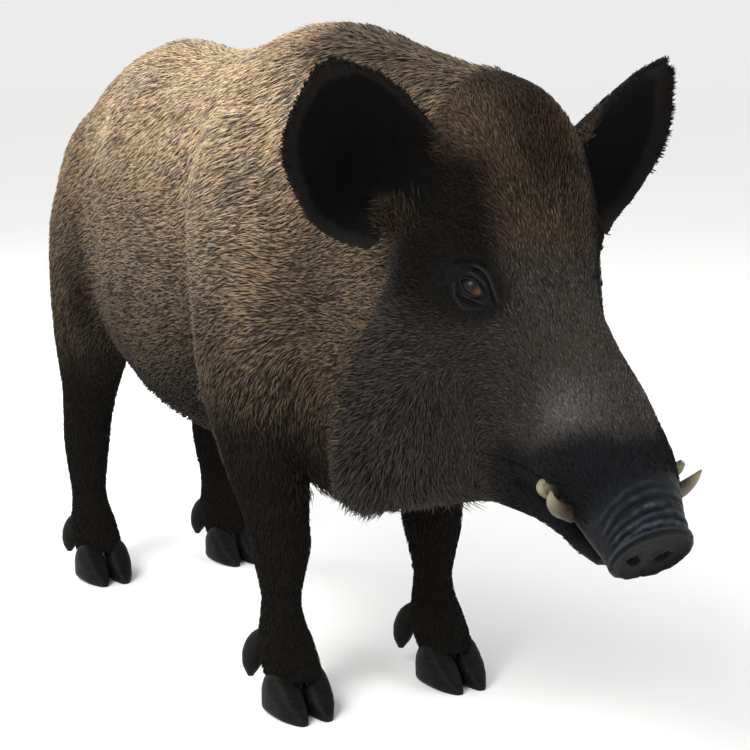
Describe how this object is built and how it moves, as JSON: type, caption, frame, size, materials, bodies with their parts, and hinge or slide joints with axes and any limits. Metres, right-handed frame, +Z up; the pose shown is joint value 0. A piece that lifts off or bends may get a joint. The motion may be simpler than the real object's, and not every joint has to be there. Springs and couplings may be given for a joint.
{
  "type": "wild boar",
  "caption": "Life-size standing adult wild boar: deep chest, high withers, long wedge head with curved tusks, large upright ears, cloven hooves, hanging tail.",
  "frame": {"origin": "on the floor, at the centre of the bounding box's base", "axes": "+Z up, the animal faces -Y and its left side is +X"},
  "size_m": [0.4988, 1.4042, 0.8536],
  "materials": {
    "coat": "short bristly coat, brown with dark flecks",
    "face": "short dark grey-brown hair",
    "leg": "short black-brown hair",
    "ear": "black skin with a fringe of short hair",
    "eye": "wet brown",
    "ivory": "smooth ivory",
    "hoof": "dark horn, low sheen"
  },
  "bodies": {
    "root": {"trunk": "coat", "neck": "coat", "tail": "coat", "head": "face", "jaw": "face", "leg_front_right": "leg", "leg_front_left": "leg", "leg_hind_right": "leg", "leg_hind_left": "leg", "ear_right": "ear", "ear_left": "ear", "eye_right": "eye", "eye_left": "eye", "tusk_upper_right": "ivory", "tusk_upper_left": "ivory", "tusk_lower_right": "ivory", "tusk_lower_left": "ivory", "hoof_front_right_outer": "hoof", "hoof_front_right_inner": "hoof", "hoof_front_left_outer": "hoof", "hoof_front_left_inner": "hoof", "hoof_hind_right_outer": "hoof", "hoof_hind_right_inner": "hoof", "hoof_hind_left_outer": "hoof", "hoof_hind_left_inner": "hoof", "dewclaw_front_right_outer": "hoof", "dewclaw_front_right_inner": "hoof", "dewclaw_front_left_outer": "hoof", "dewclaw_front_left_inner": "hoof", "dewclaw_hind_right_outer": "hoof", "dewclaw_hind_right_inner": "hoof", "dewclaw_hind_left_outer": "hoof", "dewclaw_hind_left_inner": "hoof"}
  },
  "joints": []
}
